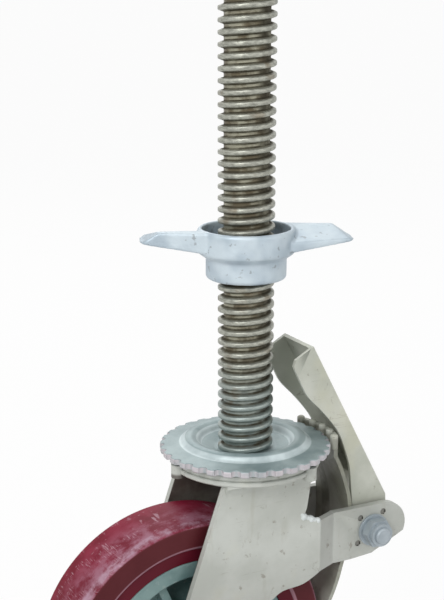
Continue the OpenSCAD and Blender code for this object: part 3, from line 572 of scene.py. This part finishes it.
def merged_copy(name, flat=0.2):
    """A copy of a solid as one closed skin, its flat areas in few large triangles."""
    piece = bpy.data.objects.new(name + "_skin", nodes[name].data.copy())
    bpy.context.scene.collection.objects.link(piece)
    choose(piece)
    bpy.ops.object.mode_set(mode="EDIT")
    bpy.ops.mesh.select_all(action="SELECT")
    bpy.ops.mesh.remove_doubles(threshold=0.001 * MM)
    bpy.ops.mesh.dissolve_limited(angle_limit=math.radians(flat))
    bpy.ops.mesh.quads_convert_to_tris(ngon_method="BEAUTY")
    bpy.ops.object.mode_set(mode="OBJECT")
    return piece


def dome_tops(piece, height, rings):
    """Domes the tops above a height: they sink, then rise again in rings of (inward, up)."""
    choose(piece)
    bpy.ops.object.mode_set(mode="EDIT")
    bpy.ops.mesh.select_mode(type="FACE")
    bpy.ops.mesh.select_all(action="DESELECT")
    bpy.ops.object.mode_set(mode="OBJECT")
    for face in piece.data.polygons:
        face.select = face.normal.z > 0.9 and face.center.z > height
    bpy.ops.object.mode_set(mode="EDIT")
    bpy.ops.transform.translate(value=(0, 0, -sum(up for inward, up in rings)))
    for inward, up in rings:
        bpy.ops.mesh.inset(thickness=inward, depth=up)
    bpy.ops.object.mode_set(mode="OBJECT")


def softened(name, width):
    """A copy of a solid with its edges rounded over, in its place."""
    piece = merged_copy(name)
    if name == "brake_plate":
        dome_tops(piece, KNOB_FOOT_Z, KNOB_DOME)
    bend = math.radians(SLIGHT_BEND.get(name, 28))
    choose(piece)
    bpy.ops.object.shade_smooth_by_angle(angle=bend)
    finish_modifier(
        piece, "BEVEL", width=width, segments=3, limit_method="ANGLE",
        angle_limit=bend, miter_outer="MITER_ARC",
    )
    finish_modifier(piece, "WEIGHTED_NORMAL", mode="FACE_AREA", weight=100, thresh=0.01)
    stands_for(piece, name)
    return piece


# %% [markdown]
# The solids have sharp edges. On the real castor, sheet is rolled over a little where it was
# punched, the teeth are worn round, and the moulded core has small radii, and these roundings
# catch the light. So each visible solid gets a copy with its edges beveled. Punched teeth take
# the widest rounding and machined nuts and washers the smallest. Weighted normals then let the
# large faces decide, so that a flat sheet is shaded flat right up to its rounded edge. The fork's
# sheet also has slight bends, which a smaller angle limit catches. The knobs along the brake
# plate's top are domed first: the tops sink a little and rise again in three insets.

# %% Rounded pieces
EDGE_MM = {
    "top_plate": 0.9, "fork": 0.6, "brake_pedal": 0.5, "brake_plate": 0.6, "tyre": 0.5,
    "wheel_core": 0.8, "kingpin": 0.4, "lower_race": 0.4, "axle_bolt": 0.4, "axle_nut": 0.4,
    "axle_washers": 0.3, "pivot_bolt": 0.4, "pivot_nut": 0.4, "pivot_washers": 0.3,
}
SLIGHT_BEND = {"fork": 16}
KNOB_FOOT_Z = 1.5 * MM
KNOB_DOME = ((0.5 * MM, 0.62 * MM), (0.7 * MM, 0.45 * MM), (0.9 * MM, 0.2 * MM))
rounded = {name: softened(name, width * MM) for name, width in EDGE_MM.items()}
print("rounded:", {name: len(piece.data.polygons) for name, piece in rounded.items()})

# %% [markdown]
# The jack screw's thread is rolled: a round-topped ridge with steep flanks and a wide flat
# groove, one turn every 7.5 mm. The solid has a coarse thread of 20 steps a turn. Here one turn
# of the form is drawn as a chain of points, extruded point by point from a single vertex, and
# the Screw modifier winds it up the axis. Both ends are then cut flat and filled.

# %% Rolled thread
THREAD_STEPS = 48
THREAD_TURNS = 54
PLAIN_END_R = 15.2 * MM
# Radius in millimetres and height as a share of the pitch, from the groove over the ridge
THREAD_FORM = (
    (15.1, 0.0), (15.05, 0.14), (15.1, 0.29), (15.4, 0.34), (16.6, 0.39), (18.1, 0.45),
    (18.75, 0.5), (19.0, 0.57), (19.0, 0.76), (18.75, 0.83), (18.1, 0.88), (16.6, 0.94),
    (15.4, 0.985), (15.1, 1.0),
)
PLAIN_END_L = 9 * MM
PLAIN_END_CHAMFER = 2 * MM
THREAD_TOP_Z = screw_high.z - PLAIN_END_L


def single_vertex(name, place):
    """A mesh of one vertex: a plane, merged to its middle."""
    bpy.ops.object.select_all(action="DESELECT")
    bpy.ops.mesh.primitive_plane_add(size=MM, location=place)
    piece = bpy.context.object
    piece.name = name
    bpy.ops.object.transform_apply(location=True)
    bpy.ops.object.mode_set(mode="EDIT")
    bpy.ops.mesh.select_mode(type="VERT")
    bpy.ops.mesh.select_all(action="SELECT")
    bpy.ops.mesh.merge(type="CENTER")
    return piece


def cut_flat(place, normal):
    """Cuts off what lies on the normal's side of a plane, and closes the cut."""
    bpy.ops.mesh.select_all(action="SELECT")
    bpy.ops.mesh.bisect(plane_co=place, plane_no=normal, use_fill=True, clear_outer=True)


def wound_thread(name, form, foot, pitch, turns, low_z, high_z):
    """A thread about Z from a chain of (radius, share of the pitch), cut off at both heights."""
    points = [(radius, 0, foot + share * pitch) for radius, share in form]
    piece = single_vertex(name, points[0])
    for before, after in zip(points, points[1:]):
        step = tuple(b - a for a, b in zip(before, after))
        bpy.ops.mesh.extrude_vertices_move(TRANSFORM_OT_translate={"value": step})
    bpy.ops.object.mode_set(mode="OBJECT")
    finish_modifier(
        piece, "SCREW", axis="Z", angle=math.tau, screw_offset=pitch, iterations=turns,
        steps=THREAD_STEPS, render_steps=THREAD_STEPS, use_merge_vertices=True,
        merge_threshold=0.001 * MM,
    )
    choose(piece)
    bpy.ops.object.mode_set(mode="EDIT")
    bpy.ops.mesh.select_all(action="SELECT")
    bpy.ops.mesh.remove_doubles(threshold=0.001 * MM)
    cut_flat((0, 0, low_z), (0, 0, -1))
    cut_flat((0, 0, high_z), (0, 0, 1))
    bpy.ops.mesh.select_all(action="SELECT")
    bpy.ops.mesh.normals_make_consistent(inside=False)
    bpy.ops.object.mode_set(mode="OBJECT")
    return piece


form = [(radius * MM, share) for radius, share in THREAD_FORM]
screw = wound_thread(
    "jack_screw_thread", form, THREAD_FOOT_Z - 2 * PITCH, PITCH, THREAD_TURNS, screw_low.z, THREAD_TOP_Z
)
print("thread faces:", len(screw.data.polygons))

# %% [markdown]
# Above the thread the bar is turned down and chamfered. It starts as a cylinder, and its top edge
# is beveled in edit mode.

# %% Plain end of the screw
bpy.ops.object.select_all(action="DESELECT")
bpy.ops.mesh.primitive_cylinder_add(
    vertices=THREAD_STEPS, radius=PLAIN_END_R, depth=PLAIN_END_L + MM,
    location=(0, 0, screw_high.z - (PLAIN_END_L + MM) / 2),
)
plain_end = bpy.context.object
plain_end.name = "jack_screw_end"
bpy.ops.object.transform_apply(location=True)
bpy.ops.object.mode_set(mode="EDIT")
bpy.ops.mesh.select_mode(type="FACE")
bpy.ops.mesh.select_all(action="DESELECT")
bpy.ops.object.mode_set(mode="OBJECT")
for face in plain_end.data.polygons:
    face.select = face.normal.z > 0.9
bpy.ops.object.mode_set(mode="EDIT")
bpy.ops.mesh.bevel(offset=PLAIN_END_CHAMFER, segments=1)
bpy.ops.object.mode_set(mode="OBJECT")
choose(screw, plain_end)
bpy.ops.object.join()
choose(screw)
bpy.ops.object.shade_smooth_by_angle(angle=math.radians(40))
stands_for(screw, "jack_screw")
print("screw with its plain end:", len(screw.data.polygons), "faces")

# %% [markdown]
# The nut is a rough casting with a thick coat of zinc, so it has no sharp edge and no truly flat
# face. A voxel remesh turns the copy into an even skin, which Smooth then rounds, and two
# Displace modifiers with cloud textures raise the slight lumps that a sand mould leaves.

# %% Cast nut
NUT_VOXEL = 0.8 * MM
nut = merged_copy("jack_nut")
finish_modifier(nut, "REMESH", mode="VOXEL", voxel_size=NUT_VOXEL)
finish_modifier(nut, "SMOOTH", factor=0.6, iterations=7)
for lump_size, lump_height in ((14 * MM, 0.35 * MM), (4 * MM, 0.16 * MM)):
    lumps = bpy.data.textures.new("mould_lumps", "CLOUDS")
    lumps.noise_scale = lump_size
    finish_modifier(nut, "DISPLACE", texture=lumps, texture_coords="LOCAL", strength=lump_height)
choose(nut)
bpy.ops.object.shade_smooth()
stands_for(nut, "jack_nut")
print("cast nut:", len(nut.data.polygons), "faces")

# %% [markdown]
# On each side the strap that carries the pedal is welded to the leg, along the bottom of the
# notch. The bead is a row of small balls that sit half in the sheet's edge. A voxel remesh melts
# them into one lumpy run, and Smooth softens it.

# %% Weld beads
# Along the notch in millimetres: x, z and the lump's radius
WELD_LUMPS = (
    (25.8, -47.4, 2.0), (27.6, -49.6, 3.0), (31.0, -51.2, 2.1), (33.8, -52.5, 2.6), (36.6, -53.7, 1.9),
    (39.4, -54.7, 2.2),
)
WELD_Y = 34.4 * MM


def weld_bead(name, side):
    """A lumpy run along the notch; side is 1 or -1."""
    lumps = []
    for x, z, radius in WELD_LUMPS:
        bpy.ops.object.select_all(action="DESELECT")
        bpy.ops.mesh.primitive_ico_sphere_add(
            subdivisions=3, radius=radius * MM, location=(x * MM, side * WELD_Y, z * MM)
        )
        lumps.append(bpy.context.object)
    choose(*lumps)
    bpy.ops.object.join()
    bead = bpy.context.object
    bead.name = name
    bpy.ops.object.transform_apply(location=True, rotation=True, scale=True)
    finish_modifier(bead, "REMESH", mode="VOXEL", voxel_size=0.35 * MM)
    finish_modifier(bead, "SMOOTH", factor=0.5, iterations=4)
    choose(bead)
    bpy.ops.object.shade_smooth()
    dress(bead, "weld")
    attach(bead, BODY["fork"])
    return bead


beads = [weld_bead("weld_bead_near", -1), weld_bead("weld_bead_far", 1)]
print("weld beads:", [len(bead.data.polygons) for bead in beads])

# %% [markdown]
# The studio: a pale floor that runs out of the frame on all sides, one broad lamp high on the
# left, a weaker one on the right and an even pale world. The floor looks nearly white to the
# camera and in reflections, but still takes the castor's shadow.

# %% Floor, lamps and world
SKY_LIGHT = 0.46


def pale_floor():
    bpy.ops.object.select_all(action="DESELECT")
    bpy.ops.mesh.primitive_plane_add(size=60, location=(0, 0, FLOOR_Z))
    floor = bpy.context.object
    floor.name = "floor"
    material = bpy.data.materials.new("floor")
    material.use_nodes = True
    tree = material.node_tree
    shader = tree.nodes["Principled BSDF"]
    shader.inputs["Base Color"].default_value = (0.86, 0.86, 0.86, 1)
    shader.inputs["Roughness"].default_value = 0.9
    glow = tree.nodes.new("ShaderNodeEmission")
    path = tree.nodes.new("ShaderNodeLightPath")
    seen = sums(tree, "MAXIMUM", path.outputs["Is Camera Ray"], path.outputs["Is Glossy Ray"])
    share = sums(tree, "MULTIPLY", seen, 0.94)
    mix = tree.nodes.new("ShaderNodeMixShader")
    tree.links.new(share, mix.inputs["Fac"])
    tree.links.new(shader.outputs["BSDF"], mix.inputs[1])
    tree.links.new(glow.outputs["Emission"], mix.inputs[2])
    tree.links.new(mix.outputs["Shader"], tree.nodes["Material Output"].inputs["Surface"])
    floor.data.materials.append(material)


def lamp(name, place, size, power):
    """A square soft lamp that looks at the middle of the castor."""
    data = bpy.data.lights.new(name, "AREA")
    data.size = size
    data.energy = power
    light = bpy.data.objects.new(name, data)
    bpy.context.scene.collection.objects.link(light)
    light.location = place
    light.rotation_euler = (-light.location).to_track_quat("-Z", "Y").to_euler()


pale_floor()
lamp("key", (-1.7, -1.2, 1.5), 1.2, 38)
lamp("fill", (0.9, -1.9, 0.6), 1.4, 7)
lamp("rim", (0.6, 1.8, 1.4), 1.0, 8)
lamp("top", (0.35, 0.75, 1.9), 0.7, 5)
world = bpy.data.worlds.new("studio")
world.use_nodes = True
sky = world.node_tree
sky.nodes["Background"].inputs["Color"].default_value = (1, 1, 1, 1)
path = sky.nodes.new("ShaderNodeLightPath")
seen = sums(sky, "MAXIMUM", path.outputs["Is Camera Ray"], path.outputs["Is Glossy Ray"])
glow = sums(sky, "ADD", sums(sky, "MULTIPLY", seen, 1 - SKY_LIGHT), SKY_LIGHT)
sky.links.new(glow, sky.nodes["Background"].inputs["Strength"])
bpy.context.scene.world = world
print("stage set, floor at", round(FLOOR_Z / MM, 1), "mm")
